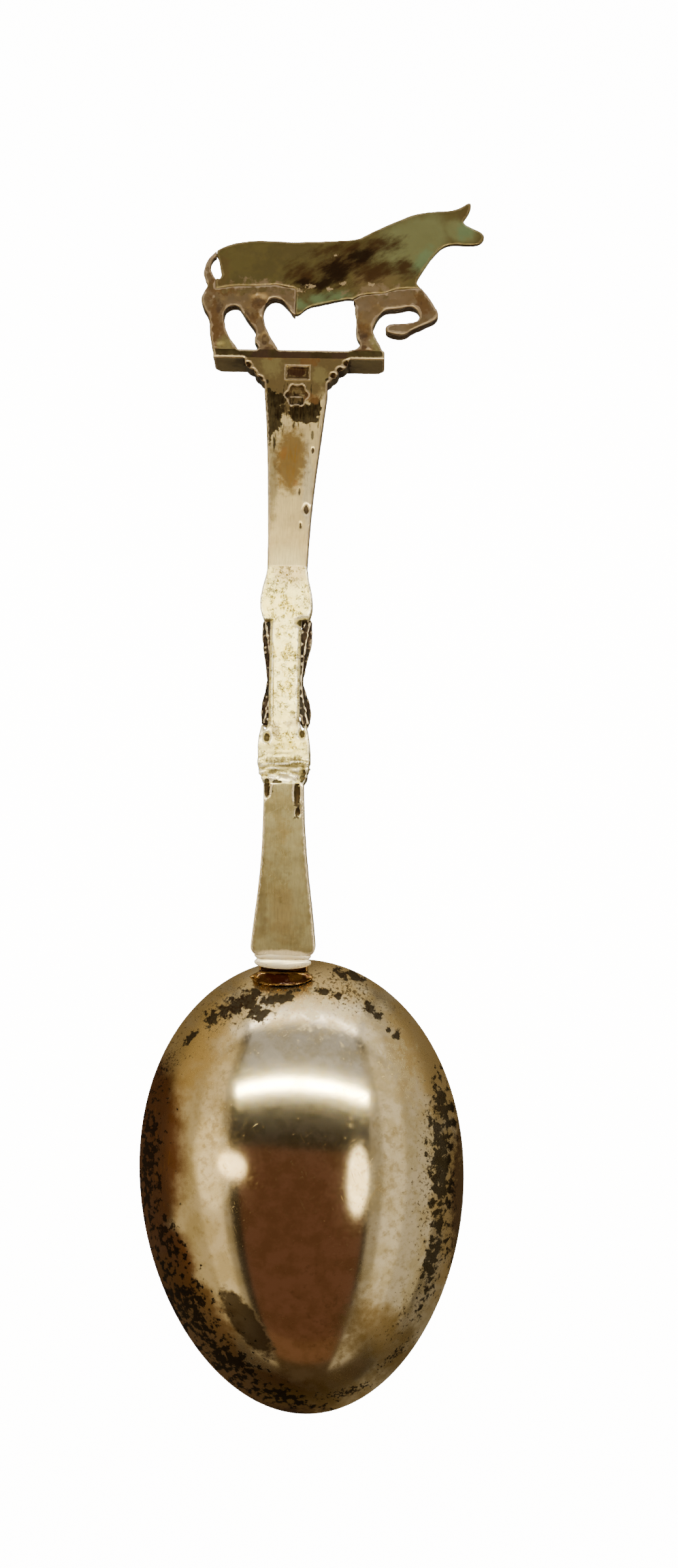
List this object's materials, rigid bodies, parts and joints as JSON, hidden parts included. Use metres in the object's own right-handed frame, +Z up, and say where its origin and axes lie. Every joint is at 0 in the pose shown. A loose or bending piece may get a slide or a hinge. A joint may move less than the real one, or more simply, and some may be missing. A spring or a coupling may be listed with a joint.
{
  "type": "souvenir spoon",
  "caption": "Small silver souvenir spoon lying face down: egg-shaped bowl, flared stem with an openwork knop, and a plinth carrying a flat-backed walking cow.",
  "frame": {"origin": "on the table, under the middle of the whole spoon's box", "axes": "+Y along the spoon from the bowl to the cow, +X towards the side the cow's head is on, +Z up through the spoon's back; the spoon lies face down on its rim and on the plinth's front edge"},
  "size_m": [0.041, 0.153, 0.011],
  "materials": {
    "bowl_silver": "polished silver with black oxidation along the rim",
    "neck_solder": "amber-brown tarnished solder",
    "stem_silver": "aged satin silver, grey-beige",
    "knop_silver": "bright cast silver with a crackled skin",
    "oxidised_silver": "black-brown oxidised recess",
    "upper_silver": "olive-grey tarnished silver with brown stains",
    "cast_silver": "pinkish grey cast silver with brown stains",
    "toned_sheet": "olive and green toned silver sheet"
  },
  "bodies": {
    "root": {"bowl": "bowl_silver", "neck": "neck_solder", "foot_roll": "stem_silver", "lower_stem": "stem_silver", "knop_lower": "knop_silver", "strap": "knop_silver", "baluster": "oxidised_silver", "scroll_left": "oxidised_silver", "scroll_right": "oxidised_silver", "knop_upper": "knop_silver", "upper_stem": "upper_silver", "bracket_left": "upper_silver", "bracket_right": "upper_silver", "plinth": "upper_silver", "hind_legs": "cast_silver", "foreleg": "cast_silver", "raised_leg": "cast_silver", "tail": "cast_silver", "body_plate": "toned_sheet", "body_relief": "toned_sheet"}
  },
  "joints": []
}
